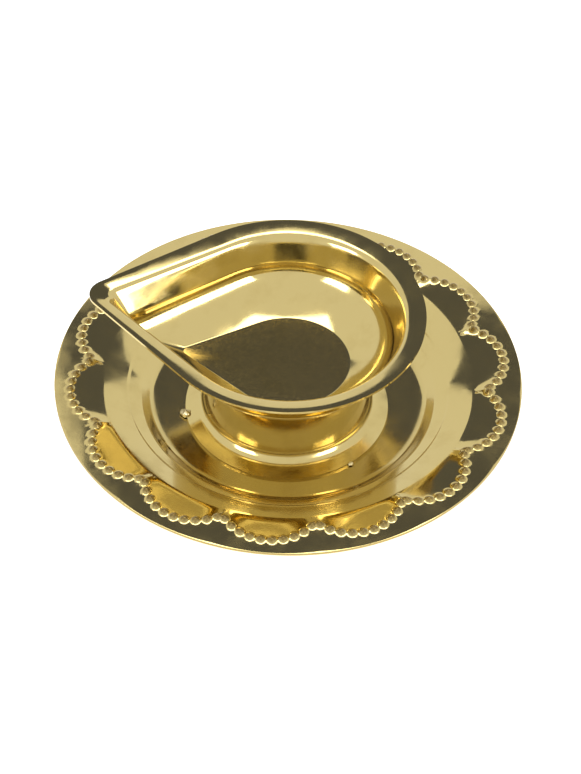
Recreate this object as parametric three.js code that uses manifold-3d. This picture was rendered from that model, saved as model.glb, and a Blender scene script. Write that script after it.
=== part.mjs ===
// A brass diya oil lamp: a teardrop bowl on a tubular stand, soldered to a round plate with a beaded brim.
// Millimetres, +Z up. The origin is the centre of the plate's underside, and the bowl's spout points to -X.

import * as THREE from 'three';
import { mergeVertices } from 'three/addons/utils/BufferGeometryUtils.js';
import { ParametricGeometry } from 'three/addons/geometries/ParametricGeometry.js';
import Module from 'manifold-3d';

const wasm = await Module();
wasm.setup();

// ---------------------------------------------------------------- driving dimensions

// Plate: one pressed sheet. Its rings are widths, counted inward from the outer edge.
const PLATE_RADIUS = 65;
const PLATE_SHEET = 0.8;
const OUTER_BRIM_WIDTH = 7.4;
const OUTER_BRIM_DROP = 0.4;
const INNER_BRIM_WIDTH = 6;
const INNER_BRIM_RISE = 1.7;
const SHOULDER_WIDTH = 7.2;
const SHOULDER_RISE = 3.2;
const STEP_WIDTH = 1.8;
const STEP_RISE = 0.5;
const WALL_WIDTH = 4;
const WALL_RISE = 3.4;
const FLOOR_FILLET = 1.6;
const FLOOR_FILLET_RISE = 1;

// Beads: a garland of scallops pressed up into the brim, hung between cusps.
const SCALLOPS = 14;
const BEADS_PER_SCALLOP = 10;
const SCALLOP_EDGE_MARGIN = 4.4;
const SCALLOP_DEPTH = 5.9;
const SCALLOP_TURN = 2.4;
const BEAD_RADIUS = 1.25;
const BEAD_HEIGHT = 1.0;
const BEAD_ROOT = 0.4;

// Stand: a spun tube with a flat foot flange, soldered a little off the plate's centre.
const STAND_OFFSET_Y = -2.5;
const STAND_SHEET = 0.7;
const FLOOR_MARGIN = 8.7;
const FLANGE_WIDTH = 4.1;
const FOOT_FILLET = 1.8;
const STAND_HEIGHT = 16;
const TUBE_OVERRUN = 3;

// Bowl: one pressed sheet. Each level of the teardrop is wider than the stand tube by its own overhang.
const BOWL_SHEET = 0.7;
const BOWL_FLOOR_INSET = 5.3;
const BOWL_FLOOR_SPOUT = 12;
const BOWL_FLOOR_TIP_RADIUS = 1.6;
const BOWL_FLOOR_DISH = 0.6;
const CREASE_OVERHANG = 6;
const CREASE_SPOUT = 15.1;
const CREASE_TIP_RADIUS = 1.2;
const CREASE_HEIGHT = 10.8;
const WALL_START_SLOPE = 22;
const MOUTH_OVERHANG = 9.6;
const MOUTH_SPOUT = 17.1;
const MOUTH_TIP_RADIUS = 3.4;
const MOUTH_HEIGHT = 18.6;
const LIP_WIDTH = 5.2;
const LIP_SPOUT = 17.2;
const LIP_TIP_RADIUS = 5.5;
const LIP_RISE = 0.7;
const LIP_BEND_PLACE = 0.6;
const LIP_BEND_RISE = 0.9;

// Solder: three tacks over the flange's edge, and a fillet inside the tube under the bowl.
const TACKS = 3;
const TACK_FIRST_TURN = 196;
const TACK_LENGTH = 3.2;
const TACK_WIDTH = 2.6;
const TACK_HEIGHT = 1.9;
const SOLDER_FILLET = 1.8;
const SOLDER_HOLLOW = 0.6;
const SOLDER_GAP = 0.3;

// Facets round a circle, and along each curve.
const PLATE_SEGMENTS = 84;
const STAND_SEGMENTS = 48;
const BEAD_SEGMENTS = 6;
const BEAD_DOME_STEPS = 2;
const TACK_SEGMENTS = 12;
const CURVE_STEPS = 5;
const ROUND_STEPS = 30;
const SIDE_STEPS = 3;
const TIP_STEPS = 6;

// ---------------------------------------------------------------- sizes worked out from them

const kneeRadius = PLATE_RADIUS - OUTER_BRIM_WIDTH;
const shoulderRadius = kneeRadius - INNER_BRIM_WIDTH;
const stepRadius = shoulderRadius - SHOULDER_WIDTH;
const wallRadius = stepRadius - STEP_WIDTH;
const filletRadius = wallRadius - WALL_WIDTH;
const floorRadius = filletRadius - FLOOR_FILLET;

const filletTop = PLATE_SHEET + FLOOR_FILLET_RISE;
const wallTop = filletTop + WALL_RISE;
const stepTop = wallTop + STEP_RISE;
const shoulderTop = stepTop + SHOULDER_RISE;
const kneeTop = shoulderTop + INNER_BRIM_RISE;
const plateTop = kneeTop - OUTER_BRIM_DROP;

const flangeRadius = floorRadius - FLOOR_MARGIN;
const tubeRadius = flangeRadius - FLANGE_WIDTH - FOOT_FILLET;
const boreRadius = tubeRadius - STAND_SHEET;
const standBottom = PLATE_SHEET;
const bowlFloorHeight = standBottom + STAND_HEIGHT + BOWL_SHEET;

const bowlFloorRadius = tubeRadius - BOWL_FLOOR_INSET;
const creaseRadius = tubeRadius + CREASE_OVERHANG;
const mouthRadius = tubeRadius + MOUTH_OVERHANG;
const lipRadius = mouthRadius + LIP_WIDTH;

const radians = THREE.MathUtils.degToRad;

// ---------------------------------------------------------------- materials

function brass(color, roughness) {
  return new THREE.MeshStandardMaterial({ color, roughness, metalness: 1 });
}

const plateBrass = brass(0xc9ab58, 0.18);
const standBrass = brass(0xcda536, 0.16);
const bowlBrass = brass(0xd2b65c, 0.15);
const solderAlloy = brass(0xbfb389, 0.35);

// ---------------------------------------------------------------- helpers

function vec2(x, y) {
  return new THREE.Vector2(x, y);
}

// A closed mesh as a manifold-3d solid.
function toSolid(geometry) {
  const bare = geometry.index ? geometry.toNonIndexed() : geometry.clone();
  bare.deleteAttribute('normal');
  bare.deleteAttribute('uv');
  const merged = mergeVertices(bare, 1e-5);
  return new wasm.Manifold(new wasm.Mesh({
    numProp: 3,
    vertProperties: new Float32Array(merged.attributes.position.array),
    triVerts: new Uint32Array(merged.index.array),
  }));
}

// A manifold-3d solid as a three.js geometry.
function toGeometry(solid) {
  const mesh = solid.getMesh();
  const geometry = new THREE.BufferGeometry();
  geometry.setAttribute('position', new THREE.BufferAttribute(mesh.vertProperties, mesh.numProp));
  geometry.setIndex(new THREE.BufferAttribute(mesh.triVerts, 1));
  geometry.computeVertexNormals();
  return geometry;
}

// A profile of (radius, height) points turned about Z. It runs up the outside, seen in the +X half plane.
function turned(profile, segments) {
  const lathe = new THREE.LatheGeometry(profile, segments);
  return lathe.rotateX(Math.PI / 2);
}

// Points of a quarter ellipse from start to end, leaving start level and reaching end upright.
function risingQuarter(start, end, steps) {
  return Array.from({ length: steps + 1 }, (_, i) => {
    const angle = (i / steps) * Math.PI / 2;
    return vec2(
      start.x + (end.x - start.x) * Math.sin(angle),
      end.y - (end.y - start.y) * Math.cos(angle),
    );
  });
}

// ---------------------------------------------------------------- plate

function plateProfile() {
  const top = [
    vec2(0, PLATE_SHEET),
    vec2(floorRadius, PLATE_SHEET),
    vec2(floorRadius + FLOOR_FILLET / 2, PLATE_SHEET + FLOOR_FILLET_RISE / 4),
    vec2(filletRadius, filletTop),
    vec2(wallRadius, wallTop),
    vec2(stepRadius, stepTop),
    vec2(shoulderRadius, shoulderTop),
    vec2(kneeRadius, kneeTop),
    vec2(PLATE_RADIUS, plateTop),
  ];
  const underside = top.map((point) => vec2(point.x, point.y - PLATE_SHEET));
  return [...underside, ...top.reverse()];
}

// Height of the brim's upper face at a radius.
function brimHeight(radius) {
  if (radius > kneeRadius) {
    return kneeTop - OUTER_BRIM_DROP * (radius - kneeRadius) / OUTER_BRIM_WIDTH;
  }
  return shoulderTop + INNER_BRIM_RISE * (radius - shoulderRadius) / INNER_BRIM_WIDTH;
}

// One bead: a low dome with a root that reaches into the sheet.
function beadDome() {
  const dome = risingQuarter(vec2(0, BEAD_HEIGHT), vec2(BEAD_RADIUS, 0), BEAD_DOME_STEPS).reverse();
  const profile = [vec2(0, -BEAD_ROOT), vec2(BEAD_RADIUS, -BEAD_ROOT), ...dome];
  return toSolid(turned(profile, BEAD_SEGMENTS));
}

// Where the beads sit: each scallop is one arc, bulging outward between two cusps.
function beadPlaces() {
  const halfPitch = Math.PI / SCALLOPS;
  const apexRadius = PLATE_RADIUS - SCALLOP_EDGE_MARGIN;
  const cuspRadius = apexRadius - SCALLOP_DEPTH;
  const halfChord = cuspRadius * Math.sin(halfPitch);
  const sagitta = apexRadius - cuspRadius * Math.cos(halfPitch);
  const arcRadius = (halfChord ** 2 + sagitta ** 2) / (2 * sagitta);
  const arcHalfAngle = Math.atan2(halfChord, arcRadius - sagitta);
  const places = [];
  for (let scallop = 0; scallop < SCALLOPS; scallop += 1) {
    const middle = radians(SCALLOP_TURN) + (2 * scallop + 1) * halfPitch;
    for (let bead = 0; bead < BEADS_PER_SCALLOP; bead += 1) {
      const along = ((2 * bead + 1) / BEADS_PER_SCALLOP - 1) * arcHalfAngle;
      const outward = apexRadius - arcRadius + arcRadius * Math.cos(along);
      const sideways = arcRadius * Math.sin(along);
      const spot = vec2(outward, sideways).rotateAround(vec2(0, 0), middle);
      places.push(spot);
    }
  }
  return places;
}

function makePlate() {
  const sheet = toSolid(turned(plateProfile(), PLATE_SEGMENTS));
  const dome = beadDome();
  const beads = beadPlaces().map((spot) => dome.translate([spot.x, spot.y, brimHeight(spot.length())]));
  return toGeometry(wasm.Manifold.union([sheet, ...beads]));
}

// ---------------------------------------------------------------- bowl

// One level of the teardrop: a round end about the stand's axis, and a spout of its own reach and tip.
function level(round, spout, tip, height) {
  return { round, tip, reach: round + spout - tip, height };
}

// A level between two others: its outline moves over by one ratio while its height rises by another.
function blend(a, b, ratio, rise) {
  const mix = (key, share) => a[key] + (b[key] - a[key]) * share;
  return {
    round: mix('round', ratio),
    tip: mix('tip', ratio),
    reach: mix('reach', ratio),
    height: mix('height', rise),
  };
}

// The same level on the other face of the sheet, moved outward and up by the given amounts.
function offset(a, out, up) {
  return { round: a.round + out, tip: a.tip + out, reach: a.reach, height: a.height + up };
}

// A point on a level's outline, by its place in the ring of steps.
function outlinePoint({ round, tip, reach, height }, step) {
  const lean = Math.acos(THREE.MathUtils.clamp((round - tip) / reach, -1, 1));
  const onRound = (angle) => vec2(round * Math.cos(angle), round * Math.sin(angle));
  const onTip = (angle) => vec2(-reach + tip * Math.cos(angle), tip * Math.sin(angle));
  const upper = Math.PI - lean;
  const lower = Math.PI + lean;
  let point;
  if (step <= ROUND_STEPS) {
    point = onRound(-upper + 2 * upper * step / ROUND_STEPS);
  } else if (step <= ROUND_STEPS + SIDE_STEPS) {
    point = onRound(upper).lerp(onTip(upper), (step - ROUND_STEPS) / SIDE_STEPS);
  } else if (step <= ROUND_STEPS + SIDE_STEPS + TIP_STEPS) {
    point = onTip(upper + (lower - upper) * (step - ROUND_STEPS - SIDE_STEPS) / TIP_STEPS);
  } else {
    point = onTip(lower).lerp(onRound(lower), (step - ROUND_STEPS - SIDE_STEPS - TIP_STEPS) / SIDE_STEPS);
  }
  return new THREE.Vector3(point.x, point.y, height);
}

// The levels up one face of the sheet, from the middle of the floor to the lip. The inner face has depth 0.
function bowlFace(depth) {
  const middle = { round: 0, tip: 0, reach: 1e-6, height: 0 };
  const bowlFloor = level(bowlFloorRadius, BOWL_FLOOR_SPOUT, BOWL_FLOOR_TIP_RADIUS, BOWL_FLOOR_DISH);
  const crease = level(creaseRadius, CREASE_SPOUT, CREASE_TIP_RADIUS, CREASE_HEIGHT);
  const mouth = level(mouthRadius, MOUTH_SPOUT, MOUTH_TIP_RADIUS, MOUTH_HEIGHT);
  const lip = level(lipRadius, LIP_SPOUT, LIP_TIP_RADIUS, MOUTH_HEIGHT + LIP_RISE);
  const lipBend = blend(mouth, lip, LIP_BEND_PLACE, LIP_BEND_RISE);
  const flare = Math.atan2(MOUTH_HEIGHT - CREASE_HEIGHT, mouthRadius - creaseRadius);
  const start = radians(WALL_START_SLOPE);

  const face = [offset(middle, 0, -depth), offset(bowlFloor, 0, -depth)];
  for (let i = 1; i <= CURVE_STEPS; i += 1) {
    const angle = start + (i / CURVE_STEPS) * (Math.PI / 2 - start);
    const outward = (Math.sin(angle) - Math.sin(start)) / (1 - Math.sin(start));
    const here = blend(bowlFloor, crease, outward, 1 - Math.cos(angle) / Math.cos(start));
    face.push(offset(here, depth * Math.sin(angle), -depth * Math.cos(angle)));
  }
  face.push(offset(mouth, depth * Math.sin(flare), -depth * Math.cos(flare)));
  face.push(offset(lipBend, 0, -depth));
  face.push(offset(lip, 0, -depth));
  return face;
}

// A solid whose skin runs through the given levels.
function levelSolid(levels) {
  const steps = ROUND_STEPS + 2 * SIDE_STEPS + TIP_STEPS;
  const place = (u, v, target) => {
    const here = levels[Math.round(v * (levels.length - 1))];
    target.copy(outlinePoint(here, Math.round(u * steps) % steps));
  };
  return toSolid(new ParametricGeometry(place, steps, levels.length - 1));
}

function makeBowl() {
  return toGeometry(levelSolid([...bowlFace(BOWL_SHEET), ...bowlFace(0).reverse()]));
}

// The space under and inside the bowl that its neighbours stay out of, in the stand's frame.
function bowlKeepOff() {
  const face = bowlFace(BOWL_SHEET + SOLDER_GAP);
  const lid = { round: 0, tip: 0, reach: 1e-6, height: MOUTH_HEIGHT };
  return levelSolid([...face, lid]).translate([0, 0, bowlFloorHeight]);
}

// ---------------------------------------------------------------- stand

function standProfile() {
  const flangeTop = standBottom + STAND_SHEET;
  const tubeTop = bowlFloorHeight + TUBE_OVERRUN;
  const filletOutside = risingQuarter(
    vec2(tubeRadius + FOOT_FILLET, flangeTop),
    vec2(tubeRadius, flangeTop + FOOT_FILLET),
    CURVE_STEPS,
  );
  const filletInside = risingQuarter(
    vec2(boreRadius + FOOT_FILLET, standBottom),
    vec2(boreRadius, standBottom + FOOT_FILLET),
    CURVE_STEPS,
  );
  return [
    ...filletInside.reverse(),
    vec2(flangeRadius, standBottom),
    vec2(flangeRadius, flangeTop),
    ...filletOutside,
    vec2(tubeRadius, tubeTop),
    vec2(boreRadius, tubeTop),
  ];
}

function closed(profile) {
  return [...profile, profile[0].clone()];
}

// The tube is turned over-long, then its top is shaped to the bowl's underside.
function makeStand() {
  const blank = toSolid(turned(closed(standProfile()), STAND_SEGMENTS));
  return toGeometry(blank.subtract(bowlKeepOff()));
}

// ---------------------------------------------------------------- solder

// A solder fillet round the inside of the tube, in the corner under the bowl.
function makeSolderRing() {
  const outside = boreRadius - SOLDER_GAP;
  const inside = outside - SOLDER_FILLET;
  const foot = bowlFloorHeight - BOWL_SHEET - SOLDER_GAP - SOLDER_FILLET;
  const top = bowlFloorHeight + TUBE_OVERRUN;
  const blank = toSolid(turned(closed([
    vec2(outside, foot),
    vec2(outside, top),
    vec2(inside, top),
    vec2(inside, foot + SOLDER_FILLET),
    vec2(inside + SOLDER_FILLET * SOLDER_HOLLOW, foot + SOLDER_FILLET * SOLDER_HOLLOW),
  ]), STAND_SEGMENTS));
  return toGeometry(blank.subtract(bowlKeepOff()));
}

// A blob of solder over the flange's edge, cut clear of the stand and the plate.
function makeTack() {
  const ball = new THREE.SphereGeometry(1, TACK_SEGMENTS, TACK_SEGMENTS / 2).rotateX(Math.PI / 2);
  const keepOff = toSolid(turned([
    vec2(0, 0),
    vec2(flangeRadius + SOLDER_GAP, 0),
    vec2(flangeRadius + SOLDER_GAP, standBottom + STAND_SHEET + SOLDER_GAP),
    vec2(0, standBottom + STAND_SHEET + SOLDER_GAP),
  ], STAND_SEGMENTS));
  const floorSlab = toSolid(turned([
    vec2(0, -TACK_HEIGHT),
    vec2(floorRadius, -TACK_HEIGHT),
    vec2(floorRadius, standBottom + SOLDER_GAP),
    vec2(0, standBottom + SOLDER_GAP),
  ], STAND_SEGMENTS));
  const solid = toSolid(ball)
    .scale([TACK_LENGTH / 2, TACK_WIDTH / 2, TACK_HEIGHT])
    .translate([flangeRadius, 0, standBottom])
    .subtract(keepOff)
    .subtract(floorSlab);
  return toGeometry(solid);
}

// ---------------------------------------------------------------- assembly

function part(name, geometry, material) {
  const mesh = new THREE.Mesh(geometry, material);
  mesh.name = name;
  return mesh;
}

const lamp = new THREE.Group();
lamp.add(part('plate', makePlate(), plateBrass));

const upper = new THREE.Group();
upper.position.y = STAND_OFFSET_Y;
lamp.add(upper);

upper.add(part('stand', makeStand(), standBrass));
upper.add(part('bowl_solder_ring', makeSolderRing(), solderAlloy));

const bowl = part('bowl', makeBowl(), bowlBrass);
bowl.position.z = bowlFloorHeight;
upper.add(bowl);

const tack = makeTack();
for (let i = 0; i < TACKS; i += 1) {
  const piece = part(`foot_solder_tack_${i + 1}`, tack, solderAlloy);
  piece.rotation.z = radians(TACK_FIRST_TURN + (360 / TACKS) * i);
  upper.add(piece);
}

export default lamp;
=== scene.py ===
# %% [markdown]
# # A brass diya on its beaded plate
#
# A diya is a small lamp that burns oil or ghee. This one is three pieces of brass sheet held by
# solder: a teardrop bowl, a short tube with a foot, and a round plate with a garland of beads. The
# model was built first as a solid in CAD, and this file makes its looks. We load the solid model,
# keep to its sizes, and replace each piece with one that has rounded corners, pressed beads and a
# real finish. Blender works in metres here, so a helper turns millimetres to metres.

import math

import bmesh
import bpy
from mathutils import Matrix, Vector, noise
from mathutils.bvhtree import BVHTree


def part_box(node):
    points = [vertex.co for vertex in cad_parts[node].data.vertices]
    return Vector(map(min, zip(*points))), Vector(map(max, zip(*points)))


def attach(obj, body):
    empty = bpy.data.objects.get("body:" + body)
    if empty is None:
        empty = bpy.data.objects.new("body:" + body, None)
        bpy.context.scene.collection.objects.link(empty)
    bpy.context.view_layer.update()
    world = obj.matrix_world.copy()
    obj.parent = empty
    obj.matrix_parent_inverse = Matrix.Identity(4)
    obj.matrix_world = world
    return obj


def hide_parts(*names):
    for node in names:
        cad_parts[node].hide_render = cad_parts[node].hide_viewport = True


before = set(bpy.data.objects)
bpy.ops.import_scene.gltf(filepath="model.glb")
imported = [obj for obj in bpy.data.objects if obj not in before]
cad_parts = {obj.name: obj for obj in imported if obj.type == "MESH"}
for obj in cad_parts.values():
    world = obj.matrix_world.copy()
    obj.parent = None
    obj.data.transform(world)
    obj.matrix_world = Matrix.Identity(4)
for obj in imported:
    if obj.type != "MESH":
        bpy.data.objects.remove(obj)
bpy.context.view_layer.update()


def mm(value):
    return value * 0.001


for name in sorted(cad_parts):
    low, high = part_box(name)
    print(name, [round(1000 * side, 1) for side in high - low], "mm")

# %% [markdown]
# ## The camera
#
# The lamp is seen from in front and well above, with a long lens from about two thirds of a metre.
# A wide lens close by would swell the near side of the plate; a long lens keeps the round plate an
# even ellipse. We place the camera by azimuth and elevation about the middle of the plate's rim, tip
# it by a degree, and slide it a few millimetres so that the lamp sits a little above the middle of
# the picture.

# %% Camera
CAMERA_AZIMUTH = math.radians(7.0)
CAMERA_ELEVATION = math.radians(45.8)
CAMERA_DISTANCE = 0.6466
CAMERA_ROLL = math.radians(1.15)
CAMERA_SLIDE = (mm(0.58), mm(-3.56))
LENS_MM = 144.15
SENSOR_WIDTH_MM = 36
NEAREST_SEEN = 0.01
RIM_CENTRE = Vector((0, 0, mm(10.5)))


def direction(azimuth, elevation):
    """The way from the lamp to something round it; azimuth 0 is in front, 90 degrees is to the right."""
    level = math.cos(elevation)
    return Vector((math.sin(azimuth) * level, -math.cos(azimuth) * level, math.sin(elevation)))


towards_camera = direction(CAMERA_AZIMUTH, CAMERA_ELEVATION)
camera_turn = towards_camera.to_track_quat("Z", "Y").to_matrix() @ Matrix.Rotation(CAMERA_ROLL, 3, "Z")
camera_place = RIM_CENTRE + towards_camera * CAMERA_DISTANCE + camera_turn @ Vector((*CAMERA_SLIDE, 0))

camera_data = bpy.data.cameras.new("camera")
camera_data.lens = LENS_MM
camera_data.sensor_fit = "HORIZONTAL"
camera_data.sensor_width = SENSOR_WIDTH_MM
camera_data.clip_start = NEAREST_SEEN
camera = bpy.data.objects.new("camera", camera_data)
camera.matrix_world = Matrix.Translation(camera_place) @ camera_turn.to_4x4()
bpy.context.scene.collection.objects.link(camera)
bpy.context.scene.camera = camera
bpy.context.scene.view_settings.view_transform = "Standard"
print("camera at", [round(side, 3) for side in camera_place])

# %% [markdown]
# ## Helpers for materials
#
# Colours are written as the hex values that a paint program shows. Blender's shaders work in linear
# light, so one function turns them. The second starts an empty material. The third adds one shader
# node, sets it, and links what feeds it: an input may be a plain value or another node's output.

# %% Material helpers
def linear(hex_colour):
    """The sRGB curve, undone for red, green and blue, with an opaque alpha after them."""
    channels = [int(hex_colour[place : place + 2], 16) / 255 for place in (1, 3, 5)]
    return [c / 12.92 if c <= 0.04045 else ((c + 0.055) / 1.055) ** 2.4 for c in channels] + [1.0]


def empty_material(name):
    material = bpy.data.materials.new(name)
    material.use_nodes = True
    material.node_tree.nodes.clear()
    return material


def add(tree, kind, inputs=None, **settings):
    node = tree.nodes.new(kind)
    for name, value in settings.items():
        setattr(node, name, value)
    for name, value in (inputs or {}).items():
        socket = node.inputs[name]
        if isinstance(value, bpy.types.NodeSocket):
            tree.links.new(value, socket)
        else:
            socket.default_value = value
    return node


print("white is", linear("#FFFFFF"), "in linear light")

# %% [markdown]
# ## A helper for pieces
#
# Every shape below is drawn as a bmesh, Blender's mesh in the making. This turns a finished one into
# an object at the origin. Its faces are shaded smoothly, apart from edges that turn by more than 40
# degrees, such as the rim of a sheet: smooth shading across those would bend the reflections for
# millimetres to each side.

# %% Piece helper
SHARP_ANGLE = math.radians(40)


def new_piece(name, bm, material):
    mesh = bpy.data.meshes.new(name)
    bm.to_mesh(mesh)
    bm.free()
    mesh.materials.append(material)
    mesh.shade_smooth()
    mesh.set_sharp_from_angle(angle=SHARP_ANGLE)
    piece = bpy.data.objects.new(name, mesh)
    bpy.context.scene.collection.objects.link(piece)
    print(name, "has", len(mesh.polygons), "faces")
    return piece


print("edges are sharp past", round(math.degrees(SHARP_ANGLE)), "degrees")

# %% [markdown]
# ## The room
#
# Polished brass has almost no look of its own: it shows the room. So the room comes first. The lamp
# stands in a white tent of cloth, as jewellery does in a studio, and the world shader makes the tent
# in one node: the same white from every side.

# %% Tent
TENT_WHITE = "#FFFFFF"
TENT_STRENGTH = 1.08

world = bpy.data.worlds.new("white tent")
world.use_nodes = True
bpy.context.scene.world = world
tree = world.node_tree
tree.nodes.clear()
tent = add(tree, "ShaderNodeBackground", {"Color": linear(TENT_WHITE), "Strength": TENT_STRENGTH})
add(tree, "ShaderNodeOutputWorld", {"Surface": tent.outputs[0]})
print("tent strength", TENT_STRENGTH)

# %% [markdown]
# ## The table
#
# A studio often stands a small piece on a lit white table, so that its shadow all but goes.
# Ours is one large square of matt white that also glows a little. It lies a hair below the plate's
# underside, because two faces at exactly the same height would flicker through each other.

# %% Table
TABLE_HALF = 1.5
TABLE_GAP = 0.02
TABLE_GLOW = 0.5

table_white = empty_material("matt white acrylic, lit")
surface = add(
    table_white.node_tree,
    "ShaderNodeBsdfPrincipled",
    {
        "Base Color": linear("#F4F4F4"),
        "Roughness": 0.9,
        "Emission Color": linear("#FFFFFF"),
        "Emission Strength": TABLE_GLOW,
    },
)
add(table_white.node_tree, "ShaderNodeOutputMaterial", {"Surface": surface.outputs[0]})

bm = bmesh.new()
bmesh.ops.create_grid(bm, x_segments=1, y_segments=1, size=TABLE_HALF)
bmesh.ops.translate(bm, verts=bm.verts[:], vec=(0, 0, -mm(TABLE_GAP)))
table = new_piece("table", bm, table_white)

# %% [markdown]
# ## The dark card
#
# In an all-white tent polished brass looks flat. A studio gives it shape with a sheet of dark card,
# placed where the metal mirrors it. Ours hangs behind the lamp with its foot well above the table.
# Level brass, such as the floors of the plate and bowl, mirrors the card and goes dark, while
# slopes mirror the white cloth and go cream. The camera never sees it, and it casts no shadow. An
# emission shader of a fixed grey is the simplest card, because it looks the same however it is lit.

# %% Dark card
CARD_AWAY = 0.2
CARD_HALF_WIDTH = 0.121
CARD_SHIFT = 0.009
CARD_FOOT = 0.155
CARD_TOP = 0.45

card_grey = empty_material("dark grey card")
surface = add(card_grey.node_tree, "ShaderNodeEmission", {"Color": linear("#686A75"), "Strength": 1.0})
add(card_grey.node_tree, "ShaderNodeOutputMaterial", {"Surface": surface.outputs[0]})

bm = bmesh.new()
bmesh.ops.create_grid(bm, x_segments=1, y_segments=1, size=1.0)
bmesh.ops.scale(bm, verts=bm.verts[:], vec=(CARD_HALF_WIDTH, (CARD_TOP - CARD_FOOT) / 2, 1))
bmesh.ops.rotate(bm, verts=bm.verts[:], matrix=Matrix.Rotation(math.pi / 2, 3, "X"))
bmesh.ops.translate(bm, verts=bm.verts[:], vec=(CARD_SHIFT, CARD_AWAY, (CARD_TOP + CARD_FOOT) / 2))
bmesh.ops.rotate(bm, verts=bm.verts[:], matrix=Matrix.Rotation(CAMERA_AZIMUTH, 3, "Z"))
card = new_piece("dark_card", bm, card_grey)
card.visible_camera = False
card.visible_diffuse = False
card.visible_shadow = False

# %% [markdown]
# ## The softboxes
#
# A softbox is a lamp behind a square of white cloth. Two stand low to the left and right of the
# camera and put the bright spots on the tube and its foot. A wide one hangs over the back and gives
# the white streaks on the far wall of the bowl. In Blender each is an area light, which polished
# metal mirrors as a bright rectangle, so its size matters as much as its power.

# %% Softboxes
SOFTBOX_AWAY = 1.0
SOFTBOXES = {
    "softbox left": {"azimuth": -50, "elevation": 20, "width": 0.4, "height": 0.4, "power": 5},
    "softbox right": {"azimuth": 50, "elevation": 20, "width": 0.4, "height": 0.4, "power": 5},
    "softbox over": {"azimuth": 180, "elevation": 76, "width": 0.8, "height": 0.25, "power": 3},
}

for name, box in SOFTBOXES.items():
    data = bpy.data.lights.new(name, "AREA")
    data.shape = "RECTANGLE"
    data.size = box["width"]
    data.size_y = box["height"]
    data.energy = box["power"]
    towards = direction(math.radians(box["azimuth"]) + CAMERA_AZIMUTH, math.radians(box["elevation"]))
    turn = towards.to_track_quat("Z", "Y").to_matrix().to_4x4()
    light = bpy.data.objects.new(name, data)
    light.matrix_world = Matrix.Translation(RIM_CENTRE + towards * SOFTBOX_AWAY) @ turn
    light.visible_camera = False
    bpy.context.scene.collection.objects.link(light)
    print(name, box["width"], "by", box["height"], "m,", box["power"], "W")

# %% [markdown]
# ## Polished brass
#
# Brass is copper and zinc. Polished on a buffing wheel and lacquered, it is a yellow mirror: metallic
# 1, low roughness, and a colour that goes deeper each time light bounces from brass to brass. Nothing
# made by hand is a perfect mirror, so a few things break it up. Pressing leaves the sheet faintly
# wavy, over a centimetre or so. Old polish and fingers leave smears, which blur the mirror in some
# places more than in others and carry a little brown tarnish. And where the buffing wheel can't
# reach, on the floors and on the beads, the brass stays satin, darker and speckled with grit marks
# under a millimetre wide, drawn a little coarser than real so that they show. On the beads and the
# plate's cut rim the darker tan is painted shade as well: it stands in for the dim room that the
# beads' sides mirror and for the shade at the rim.
#
# One function builds the finish, and each piece gives its own values. Where it is polished and where
# it is satin can't be told from a pattern in space, because it follows the pieces' own shapes. So
# each mesh carries a mask attribute for wear and painted shade, 0 where it is polished and 1 where
# it is satin; on the plate's beads and rim it also paints the shade.

# %% Brass finish
SPECK_MM = 0.7
SPECK_DEPTH_MM = 0.012
SPECK_DETAIL = 3.0
SMEAR_MM = 9
SMEAR_DETAIL = 4.0
WAVE_DETAIL = 1.0
NOISE_MIDDLE = (0.35, 0.65)
CLEAN_SPREAD = (0.6, 1.6)
WORN_SPREAD = (0.7, 1.3)
TARNISH = "#A8904E"
TARNISH_FROM = (0.5, 0.75)
TARNISH_MOST = 0.22
EVEN_GRAIN = (1, 1, 1)
CLEAN_GRAIN = 0.12
CLOUD_ROUGHNESS = 0.6


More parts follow.
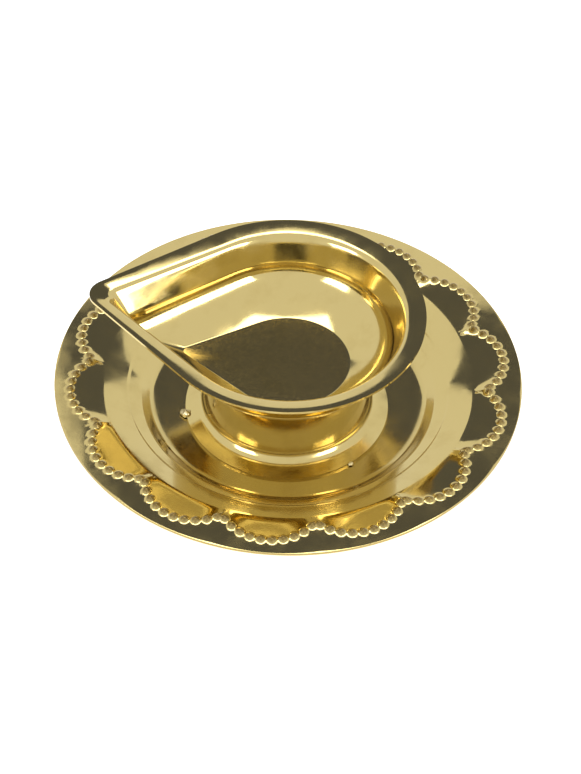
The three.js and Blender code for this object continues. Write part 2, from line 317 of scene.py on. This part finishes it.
def brass(
    name,
    colours,
    roughness,
    worn_roughness,
    wave_mm,
    wave_depth_mm,
    grain=EVEN_GRAIN,
    clean_grain=CLEAN_GRAIN,
):
    """A brass finish: polished at mask 0, satin at 1, where the darker colour is partly painted shade.
    """
    material = empty_material(name)
    tree = material.node_tree
    place = add(tree, "ShaderNodeTexCoord").outputs["Object"]
    worn_and_shade = add(tree, "ShaderNodeAttribute", attribute_name="worn_and_shade").outputs["Fac"]

    def cloud(size_mm, detail, where=place):
        scale = {"Scale": 1000 / size_mm, "Detail": detail, "Roughness": CLOUD_ROUGHNESS}
        return add(tree, "ShaderNodeTexNoise", {"Vector": where, **scale}).outputs[0]

    def mapped(value, source, target):
        ends = {"From Min": source[0], "From Max": source[1], "To Min": target[0], "To Max": target[1]}
        return add(tree, "ShaderNodeMapRange", {"Value": value, **ends}).outputs[0]

    def mixed_colour(share, first, second):
        sockets = {0: share, 6: first, 7: second}
        return add(tree, "ShaderNodeMix", sockets, data_type="RGBA").outputs[2]

    waves = cloud(wave_mm, WAVE_DETAIL)
    grained = add(tree, "ShaderNodeVectorMath", {0: place, 1: grain}, operation="MULTIPLY").outputs[0]
    specks = cloud(SPECK_MM, SPECK_DETAIL, grained)
    smears = cloud(SMEAR_MM, SMEAR_DETAIL)

    wavy = add(tree, "ShaderNodeBump", {"Height": waves, "Distance": mm(wave_depth_mm)}).outputs[0]
    strength = mapped(worn_and_shade, (0.0, 1.0), (clean_grain, 1.0))
    bump = {"Height": specks, "Distance": mm(SPECK_DEPTH_MM), "Strength": strength, "Normal": wavy}
    speckled = add(tree, "ShaderNodeBump", bump).outputs[0]

    clean_rough = mapped(smears, NOISE_MIDDLE, [roughness * share for share in CLEAN_SPREAD])
    worn_rough = mapped(specks, NOISE_MIDDLE, [worn_roughness * share for share in WORN_SPREAD])
    sockets = {0: worn_and_shade, 2: clean_rough, 3: worn_rough}
    rough = add(tree, "ShaderNodeMix", sockets, data_type="FLOAT").outputs[0]

    # The second colour fills where the mask is 1; on the plate's beads and rim its darker tan is painted
    # shade.
    hue = mixed_colour(worn_and_shade, linear(colours[0]), linear(colours[1]))
    tarnished = mapped(smears, TARNISH_FROM, (0.0, TARNISH_MOST))
    hue = mixed_colour(tarnished, hue, linear(TARNISH))
    metal = {"Base Color": hue, "Metallic": 1.0, "Roughness": rough, "Normal": speckled}
    surface = add(tree, "ShaderNodeBsdfPrincipled", metal)
    add(tree, "ShaderNodeOutputMaterial", {"Surface": surface.outputs[0]})
    return material


print("grit marks", SPECK_MM, "mm wide, smears", SMEAR_MM, "mm")

# %% [markdown]
# ## The four finishes
#
# The plate and the bowl are pressed sheet, buffed to a mirror. The tube was polished on a lathe, so
# its grain is drawn out round it into turning lines: squeezing the pattern's own x and y makes each
# speck fifty times longer that way. Solder is tin with a little lead or copper, pale and dull.

# %% Finishes
BRASS = "#C8B579"
# The plate's satin colour; on its beads and cut rim this darker tan is painted shade.
SATIN_AND_SHADE_TAN = "#806D42"
BRASS_SATIN = "#BCA76B"
SOLDER_PALE = "#C9BD95"
TURNING_LINES = (0.02, 0.02, 1.0)
TURNING_GRAIN = 0.6

plate_brass = brass("polished brass, pressed sheet", (BRASS, SATIN_AND_SHADE_TAN), 0.09, 0.36, 14, 0.07)
bowl_brass = brass("polished brass, drawn sheet", (BRASS, BRASS_SATIN), 0.1, 0.16, 12, 0.07)
stand_brass = brass(
    "polished brass, spun tube", (BRASS, BRASS), 0.12, 0.12, 10, 0.06, TURNING_LINES, TURNING_GRAIN
)
solder_tin = brass("soft solder", (SOLDER_PALE, SOLDER_PALE), 0.3, 0.3, 2, 0.1)
print("finishes:", [m.name for m in (plate_brass, stand_brass, bowl_brass, solder_tin)])

# %% [markdown]
# ## Helpers for sheet metal
#
# All three pieces are thin sheet, and two of them are round. A round piece is easiest as a section:
# a line of a few vertices from the axis outward. We round its corners while it is still only a line,
# because a bevel on a few vertices is far cheaper than one on whole circles, and then spin it. Blender
# decides by itself which way the new faces look, so a helper turns them up when they look down.

# %% Sheet metal helpers
MERGE_DISTANCE = 1e-7


def section_line(bm, points):
    """A line of vertices in the XZ plane, from points in millimetres, joined by edges."""
    line = [bm.verts.new((mm(x), 0, mm(z))) for x, z in points]
    for first, second in zip(line, line[1:]):
        bm.edges.new((first, second))
    return line


def round_corner(bm, geom, width, affect="VERTICES", segments=2):
    bmesh.ops.bevel(
        bm,
        geom=geom,
        offset=mm(width),
        offset_type="OFFSET",
        affect=affect,
        segments=segments,
        profile=0.5,
        material=-1,
    )


def face_up(bm):
    bmesh.ops.recalc_face_normals(bm, faces=bm.faces[:])
    if sum(face.normal.z * face.calc_area() for face in bm.faces) < 0:
        bmesh.ops.reverse_faces(bm, faces=bm.faces[:])


def spin(bm, steps):
    bmesh.ops.spin(
        bm,
        geom=bm.verts[:] + bm.edges[:],
        cent=(0, 0, 0),
        axis=(0, 0, 1),
        angle=math.tau,
        steps=steps,
        use_merge=True,
    )
    bmesh.ops.remove_doubles(bm, verts=bm.verts[:], dist=MERGE_DISTANCE)
    face_up(bm)


print("vertices closer than", 1000 * MERGE_DISTANCE, "mm are merged")

# %% [markdown]
# ## The plate: its section
#
# The plate is pressed from one sheet. Cut it through the middle and its top face is a line: level
# floor, a quick curve up, a steep wall and a gentler one, a little step, the shoulder, the inner brim
# that still rises, and the outer brim that droops a little. Each slope mirrors its own part of the
# room, so a degree here shows more than a tenth of a millimetre does.

# %% Plate sizes
PLATE_SHEET = 0.8
PLATE_LINE = (
    (0.0, 0.8),
    (37.0, 0.8),
    (38.4, 1.6),
    (41.2, 4.4),
    (44.4, 5.9),
    (44.9, 6.3),
    (51.6, 9.3),
    (57.6, 10.6),
    (64.9, 10.2),
)
PLATE_ROUNDING = (1.0, 0.7, 0.6, 0.2, 0.2, 0.5)
RIM_ROUNDING = 0.15
BRIM_DROOP = math.tan(math.radians(3))

shoulder_radius, shoulder_height = PLATE_LINE[-3]
rim_radius, rim_height = PLATE_LINE[-1]
print("the plate is", 2 * rim_radius, "mm across and", rim_height, "mm high at its rim")

# %% [markdown]
# ## The garland
#
# The beads run round the brim in 14 scallops, 10 beads to each. A scallop is one arc that bulges
# outward between two cusps. Pressed beads are part of the sheet, so rather than stick balls on it we
# push the sheet's own vertices up, and for that it needs more of them where the beads are. The spin
# gives eight columns to each bead, and extra rows run round the brim. Then every row near the garland is
# bent to follow it, and the columns are spaced evenly along its arcs.

# %% Garland
SCALLOPS = 14
BEADS_PER_SCALLOP = 10
COLUMNS_PER_BEAD = 8
GARLAND_APEX = 60.6
GARLAND_CUSP = 54.7
GARLAND_TURN = math.radians(2.4)

half_pitch = math.pi / SCALLOPS
half_chord = GARLAND_CUSP * math.sin(half_pitch)
sagitta = GARLAND_APEX - GARLAND_CUSP * math.cos(half_pitch)
arc_radius = (half_chord**2 + sagitta**2) / (2 * sagitta)
arc_half_angle = math.atan2(half_chord, arc_radius - sagitta)


def garland(turn):
    """The garland's radius and turn, for a place that runs evenly along each arc as turn runs round."""
    scallop, share = divmod((turn - GARLAND_TURN) / (2 * half_pitch), 1)
    along = (2 * share - 1) * arc_half_angle
    outward = GARLAND_APEX - arc_radius + arc_radius * math.cos(along)
    sideways = arc_radius * math.sin(along)
    middle = GARLAND_TURN + (2 * scallop + 1) * half_pitch
    return math.hypot(outward, sideways), middle + math.atan2(sideways, outward)


beads = []
for bead in range(SCALLOPS * BEADS_PER_SCALLOP):
    radius, turn = garland(GARLAND_TURN + (bead + 0.5) * 2 * half_pitch / BEADS_PER_SCALLOP)
    beads.append(Vector((radius * math.cos(turn), radius * math.sin(turn))))
print(len(beads), "beads,", round((beads[5] - beads[4]).length, 2), "mm apart")

# %% [markdown]
# ## The plate: its sheet
#
# The band is a strip of close rows, 4.8 mm wide, that will carry the beads. Inside it and outside it
# a few wider rows let the bend fade away towards the shoulder and the rim. The rows are cut into the
# section while it is still a line, where one cut costs one vertex, and then the section is spun.
# Every corner is rounded but the knee under the beads, whose rows make a softer bend of their own.

# %% Plate rows
BAND_MIDDLE = 57.8
BAND_HALF = 2.4
BAND_ROWS = (0.0, 0.32, 0.65, 1.0, 1.35, 1.8, BAND_HALF)
INNER_ROWS = (53.2,)
OUTER_ROWS = (61.4, 62.6, 63.8, 64.5)
BRIM_START = 52.4
KNEE_WIDTH = 1.3
ROW_GAP = 0.02

bm = bmesh.new()
line = section_line(bm, PLATE_LINE)
for vert, width in zip(line[1:-1], PLATE_ROUNDING):
    round_corner(bm, [vert], width)
band = {BAND_MIDDLE + sign * row for row in BAND_ROWS for sign in (-1, 1)}
for radius in sorted(band.union(INNER_ROWS, OUTER_ROWS)):
    for edge in bm.edges[:]:
        inner, outer = sorted(edge.verts, key=lambda vert: vert.co.x)
        if inner.co.x + mm(ROW_GAP) < mm(radius) < outer.co.x - mm(ROW_GAP):
            bmesh.utils.edge_split(edge, inner, (mm(radius) - inner.co.x) / (outer.co.x - inner.co.x))
print("the section has", len(bm.verts), "points")
spin(bm, SCALLOPS * BEADS_PER_SCALLOP * COLUMNS_PER_BEAD)

# %% [markdown]
# ## The plate: bend and thickness
#
# Now the rows are bent to follow the garland. The outer brim is one even cone, so its height depends
# only on how far out a point is; the inner brim runs straight from the shoulder to the garland,
# wherever the garland is. The two meet in a soft knee under the beads. Solidify then gives the sheet
# its thickness downward, and a small bevel takes the sharpness off the rim.

# %% Plate bend and thickness
AT_RIM = 0.02
LEVEL_WITHIN = 1e-6


def follow(radius):
    """How far a row follows the garland: all the way in the band, less towards the brim's two edges."""
    gap = abs(radius - BAND_MIDDLE) - BAND_HALF
    edge = rim_radius if radius > BAND_MIDDLE else 2 * BAND_MIDDLE - shoulder_radius
    return 1 - min(1, max(0, gap / (edge - BAND_MIDDLE - BAND_HALF)))


def cone(radius):
    """The height of the outer brim, which droops a little all round."""
    return rim_height + BRIM_DROOP * (rim_radius - radius)


for vert in bm.verts:
    row = radius = 1000 * math.hypot(vert.co.x, vert.co.y)
    line_radius, turn = garland(math.atan2(vert.co.y, vert.co.x))
    if row > BRIM_START:
        radius += follow(row) * (line_radius - BAND_MIDDLE)
        share = (radius - shoulder_radius) / (line_radius - shoulder_radius)
        inner = shoulder_height + (cone(line_radius) - shoulder_height) * share
        outer = cone(radius)
        past_knee = min(1, max(0, (row - BAND_MIDDLE) / KNEE_WIDTH + 0.5))
        vert.co.z = mm(inner + (outer - inner) * past_knee)
    vert.co.x = mm(radius * math.cos(turn))
    vert.co.y = mm(radius * math.sin(turn))
bmesh.ops.solidify(bm, geom=bm.faces[:], thickness=mm(PLATE_SHEET))

rim = [
    edge
    for edge in bm.edges
    if all(vert.co.xy.length > mm(rim_radius - AT_RIM) for vert in edge.verts)
    and abs(edge.verts[0].co.z - edge.verts[1].co.z) < LEVEL_WITHIN
]
round_corner(bm, rim, RIM_ROUNDING, affect="EDGES")
print(len(rim), "edges round the rim are bevelled")

# %% [markdown]
# ## Pressing the beads
#
# Each vertex within a bead's radius rises by a rounded bump of its distance to the bead's middle.
# Both faces of the sheet rise together, which leaves a dimple under each bead, as a press does. A
# grid of 3 mm squares finds the beads near a vertex without trying all 140. The same pass writes the
# mask for wear and painted shade: the beads and the cut rim go rough and take a darker tan, which is
# painted shade, and the well's floor is slightly satin.

# %% Press the beads
BEAD_RADIUS = 1.42
BEAD_HEIGHT = 0.9
BEAD_FULLNESS = 0.85
# How quickly a bead's slope goes rough and takes the darker tan, a painted shade.
BEAD_WEAR_AND_SHADE_GAIN = 3
GRID = 3.0
WELL_SATIN = 38.6
WELL_FADE = 2
WELL_WEAR = 0.2


def square(spot):
    return round(spot.x / GRID), round(spot.y / GRID)


near_square = {}
for spot in beads:
    column, row = square(spot)
    for across in (-1, 0, 1):
        for along in (-1, 0, 1):
            near_square.setdefault((column + across, row + along), []).append(spot)

pressed = 0
worn_and_shade_of = bm.verts.layers.float.new("worn_and_shade")
for vert in bm.verts:
    here = vert.co.xy * 1000
    vert[worn_and_shade_of] = WELL_WEAR * min(1, max(0, (WELL_SATIN - here.length) / WELL_FADE))
    # The cut rim is painted the darker tan: painted shade for the little light it gets.
    if here.length > rim_radius - AT_RIM:
        vert[worn_and_shade_of] = 1.0
    gap = min(((here - spot).length for spot in near_square.get(square(here), ())), default=BEAD_RADIUS)
    if gap < BEAD_RADIUS:
        bump = 0.5 + 0.5 * math.cos(math.pi * gap / BEAD_RADIUS)
        vert.co.z += mm(BEAD_HEIGHT * bump**BEAD_FULLNESS)
        # The beads go rough and take the darker tan, which is painted shade for the dim room they
        # mirror.
        vert[worn_and_shade_of] = min(1, BEAD_WEAR_AND_SHADE_GAIN * bump)
        pressed += 1
print(pressed, "vertices pressed")

plate = new_piece("beaded_plate", bm, plate_brass)
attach(plate, "root")
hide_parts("plate")

# %% [markdown]
# ## The bowl: its outline
#
# The bowl is drawn from one sheet too. Seen from above, each level of it is the same kind of
# teardrop: a round end, two straight sides and a small tip. A level is three sizes and a height, and
# one function gives any point on its outline. It counts columns, so that a column is the same place
# on every level and the rings of the mesh line up.

# %% Bowl outline
ROUND_STEPS = 96
SIDE_STEPS = 24
TIP_STEPS = 16
BOWL_COLUMNS = ROUND_STEPS + 2 * SIDE_STEPS + TIP_STEPS
SHORTEST = 1e-6


def teardrop_level(round_radius, spout, tip, z):
    return {"round": round_radius, "tip": tip, "reach": round_radius + spout - tip, "z": z}


def outline_point(level, column):
    """A point on a teardrop's outline, in millimetres about the bowl's own axis."""
    round_radius, tip, reach = level["round"], level["tip"], level["reach"]
    lean = math.acos(max(-1, min(1, (round_radius - tip) / max(reach, SHORTEST))))
    upper, lower = math.pi - lean, math.pi + lean

    def on_round(angle):
        return Vector((round_radius * math.cos(angle), round_radius * math.sin(angle)))

    def on_tip(angle):
        return Vector((-reach + tip * math.cos(angle), tip * math.sin(angle)))

    if column <= ROUND_STEPS:
        return on_round(-upper + 2 * upper * column / ROUND_STEPS)
    column -= ROUND_STEPS
    if column <= SIDE_STEPS:
        return on_round(upper).lerp(on_tip(upper), column / SIDE_STEPS)
    column -= SIDE_STEPS
    if column <= TIP_STEPS:
        return on_tip(upper + (lower - upper) * column / TIP_STEPS)
    column -= TIP_STEPS
    return on_tip(lower).lerp(on_round(lower), column / SIDE_STEPS)


print(BOWL_COLUMNS, "columns round the bowl")

# %% [markdown]
# ## The bowl: its levels
#
# Four levels carry the shape: the edge of the floor, the crease half way up, the mouth and the lip.
# The rest are blends of them. The floor is dished by 0.6 mm, so that a last spoonful of oil gathers
# in the middle. The lower wall curves from a slanting start until it is upright at the
# crease. The upper wall is straight, the corner at the mouth is a soft curve, and the lip rises
# evenly to a bend near its edge and is level from there.

# %% Bowl levels
BOWL_FLOOR_Z = 17.5
FLOOR_DISH = 0.6
FLOOR = teardrop_level(17.1, 12.0, 1.6, BOWL_FLOOR_Z + FLOOR_DISH)
CREASE = teardrop_level(28.8, 15.1, 1.2, BOWL_FLOOR_Z + 10.8)
MOUTH = teardrop_level(31.7, 17.1, 3.4, BOWL_FLOOR_Z + 18.3)
LIP = teardrop_level(37.2, 17.2, 5.5, BOWL_FLOOR_Z + 19.3)

FLOOR_SHARES = (0.02, 0.1, 0.3, 0.5, 0.7, 0.85, 0.95, 0.99, 1)
FLOOR_EDGE = 0.97
FLOOR_EDGE_WEAR = 0.3
WALL_STEPS = 18
WALL_START = math.radians(42)
FIRST_WALL_STEPS = (0.15, 0.5)
UPPER_STEPS = 6
CORNER_STEPS = 6
CORNER_WALL = 0.84
CORNER_LIP = 0.24
LIP_STEPS = 12
LIP_BEND = 0.8
LIP_EASE = 1.15


def between(a, b, outward, rise):
    level = {key: a[key] + (b[key] - a[key]) * outward for key in ("round", "tip", "reach")}
    level["z"] = a["z"] + (b["z"] - a["z"]) * rise
    level["worn_and_shade"] = 0.0
    return level


def floor_level(share):
    level = {key: FLOOR[key] * share for key in ("round", "tip", "reach")}
    level["z"] = FLOOR["z"] - FLOOR_DISH * (1 - share**2)
    level["worn_and_shade"] = 1.0 if share < FLOOR_EDGE else FLOOR_EDGE_WEAR
    return level


def wall_level(step):
    angle = WALL_START + (math.pi / 2 - WALL_START) * step / WALL_STEPS
    outward = (math.sin(angle) - math.sin(WALL_START)) / (1 - math.sin(WALL_START))
    return between(FLOOR, CREASE, outward, 1 - math.cos(angle) / math.cos(WALL_START))


def lip_level(share):
    return between(MOUTH, LIP, share, 1 - (1 - min(share / LIP_BEND, 1)) ** LIP_EASE)


wall_end = between(CREASE, MOUTH, CORNER_WALL, CORNER_WALL)
lip_start = lip_level(CORNER_LIP)
levels = [floor_level(share) for share in FLOOR_SHARES]
levels += [wall_level(step) for step in (*FIRST_WALL_STEPS, *range(1, WALL_STEPS + 1))]
crease_place = len(levels) - 1
for step in range(1, UPPER_STEPS + 1):
    levels.append(between(CREASE, wall_end, step / UPPER_STEPS, step / UPPER_STEPS))
for step in range(1, CORNER_STEPS + 1):
    share = step / CORNER_STEPS
    up_wall = between(wall_end, MOUTH, share, share)
    on_lip = between(MOUTH, lip_start, share, share)
    levels.append(between(up_wall, on_lip, share, share))
for step in range(1, LIP_STEPS + 1):
    levels.append(lip_level(CORNER_LIP + (1 - CORNER_LIP) * step / LIP_STEPS))
print(len(levels), "levels, the crease is number", crease_place)

# %% [markdown]
# ## The bowl: its sheet
#
# We start from a tiny ring in the middle of the floor and extrude its edge outward again and again,
# moving every new ring to the next level. Each vertex keeps its column number in a layer of the mesh,
# and an extruded vertex takes the number of the one it grew from. The floor's little hole is filled
# at the end, the crease gets a narrow bevel, and solidify makes the sheet. The bowl sits 2.5 mm in
# front of the plate's middle, because it was soldered by eye.

# %% Bowl
STAND_Y = -2.5
BOWL_SHEET = 0.7
CREASE_ROUNDING = 0.25

bm = bmesh.new()
column_of = bm.verts.layers.int.new("column")
worn_and_shade_of = bm.verts.layers.float.new("worn_and_shade")
ring = bmesh.ops.create_circle(bm, segments=BOWL_COLUMNS, radius=1.0)["verts"]
for column, vert in enumerate(ring):
    vert[column_of] = column
loops = [bm.edges[:]]


def place_ring(verts, level):
    for vert in verts:
        spot = outline_point(level, vert[column_of])
        vert.co = (mm(spot.x), mm(spot.y + STAND_Y), mm(level["z"]))
        vert[worn_and_shade_of] = level["worn_and_shade"]


place_ring(ring, levels[0])
for level in levels[1:]:
    grown = bmesh.ops.extrude_edge_only(bm, edges=loops[-1])["geom"]
    verts = {item for item in grown if isinstance(item, bmesh.types.BMVert)}
    edges = [item for item in grown if isinstance(item, bmesh.types.BMEdge)]
    loops.append([edge for edge in edges if verts.issuperset(edge.verts)])
    place_ring(verts, level)
bmesh.ops.contextual_create(bm, geom=ring)
face_up(bm)
round_corner(bm, loops[crease_place], CREASE_ROUNDING, affect="EDGES", segments=3)
bmesh.ops.solidify(bm, geom=bm.faces[:], thickness=mm(BOWL_SHEET))
bowl_shape = BVHTree.FromBMesh(bm)

bowl = new_piece("teardrop_bowl", bm, bowl_brass)
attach(bowl, "root")
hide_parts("bowl")

# %% [markdown]
# ## The stand
#
# The stand is a tube, spun out at the bottom to a foot: a round fillet and then a flange that slopes
# a little to its edge, where it lies in the plate's well. Its top has to meet the bowl, whose wall
# curves away above it. Cutting the tube with the bowl's shape would work, but leaves ragged faces.
# Instead the top ring of vertices is moved: each looks straight up for the bowl and goes to where it
# finds it.

# %% Stand
STAND_SHEET = 0.7
TUBE_RADIUS = 22.4
TUBE_STRAIGHT_Z = 16.4
TUBE_BLANK_Z = 20.0
TUBE_LAP = 0.05
LOOK_UP_FROM_Z = 5
FLANGE_RADIUS = 28.3
FLANGE_TOP = 1.5
FLANGE_SLOPE = math.tan(math.radians(14))
FOOT_FILLET = 2.8
FOOT_SEGMENTS = 10
STAND_STEPS = 160

foot_z = FLANGE_TOP + FLANGE_SLOPE * (FLANGE_RADIUS - TUBE_RADIUS)
flange_edge = (FLANGE_RADIUS, FLANGE_TOP)
tube = [(TUBE_RADIUS, z) for z in (foot_z, TUBE_STRAIGHT_Z, TUBE_BLANK_Z)]
bm = bmesh.new()
line = section_line(bm, (flange_edge, *tube))
round_corner(bm, [line[1]], FOOT_FILLET, segments=FOOT_SEGMENTS)
spin(bm, STAND_STEPS)
bmesh.ops.translate(bm, verts=bm.verts[:], vec=(0, mm(STAND_Y), 0))

raised = []
for vert in bm.verts:
    if vert.co.z > mm((TUBE_STRAIGHT_Z + TUBE_BLANK_Z) / 2):
        start = Vector((vert.co.x, vert.co.y, mm(LOOK_UP_FROM_Z)))
        vert.co.z = bowl_shape.ray_cast(start, Vector((0, 0, 1)))[0].z + mm(TUBE_LAP)
        raised.append(1000 * vert.co.z)
bmesh.ops.solidify(bm, geom=bm.faces[:], thickness=mm(STAND_SHEET))
print("the tube's top meets the bowl from", round(min(raised), 2), "to", round(max(raised), 2), "mm up")

stand = new_piece("spun_stand", bm, stand_brass)
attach(stand, "root")
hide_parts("stand")

# %% [markdown]
# ## Solder
#
# Three small tacks of soft solder hold the flange to the plate. Solder is put on by hand with a hot
# iron, so no two tacks are alike: each is a low dome pushed about by smooth noise. We start each from
# a small ball, flatten it, move its vertices by the noise at their own places, and cut its underside
# level so that it lies on the brass. The ring of solder under the bowl is out of sight, so the CAD
# piece stays and only takes the finish.

# %% Solder
TACK_SIZES = {"foot_solder_tack_1": 1.35, "foot_solder_tack_2": 0.6, "foot_solder_tack_3": 0.85}
TACK_FLATNESS = 1.4
TACK_SHRINK = 0.9
TACK_NOISE_MM = 1.3
TACK_NOISE_DEPTH = 0.34
TACK_ROUNDNESS = 4

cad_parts["bowl_solder_ring"].material_slots[0].material = solder_tin
for name, size in TACK_SIZES.items():
    low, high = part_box(name)
    middle = (low + high) / 2
    half = (high - low) / 2 * size
    bm = bmesh.new()
    bmesh.ops.create_icosphere(bm, subdivisions=TACK_ROUNDNESS, radius=1.0)
    for vert in bm.verts:
        spot = Vector((vert.co.x * half.x, vert.co.y * half.y, vert.co.z * TACK_FLATNESS * half.z))
        bulge = noise.noise((middle + spot) * 1000 / TACK_NOISE_MM) * TACK_NOISE_DEPTH
        vert.co = Vector((middle.x, middle.y, low.z)) + spot * (TACK_SHRINK + bulge)
    geom = bm.verts[:] + bm.edges[:] + bm.faces[:]
    level_cut = {"plane_co": (0, 0, low.z), "plane_no": (0, 0, 1), "clear_inner": True}
    cut = bmesh.ops.bisect_plane(bm, geom=geom, **level_cut)
    edge_loop = [item for item in cut["geom_cut"] if isinstance(item, bmesh.types.BMEdge)]
    bmesh.ops.holes_fill(bm, edges=edge_loop)
    bmesh.ops.recalc_face_normals(bm, faces=bm.faces[:])
    tack = new_piece(name.replace("foot_solder", "solder"), bm, solder_tin)
    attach(tack, "root")
    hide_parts(name)
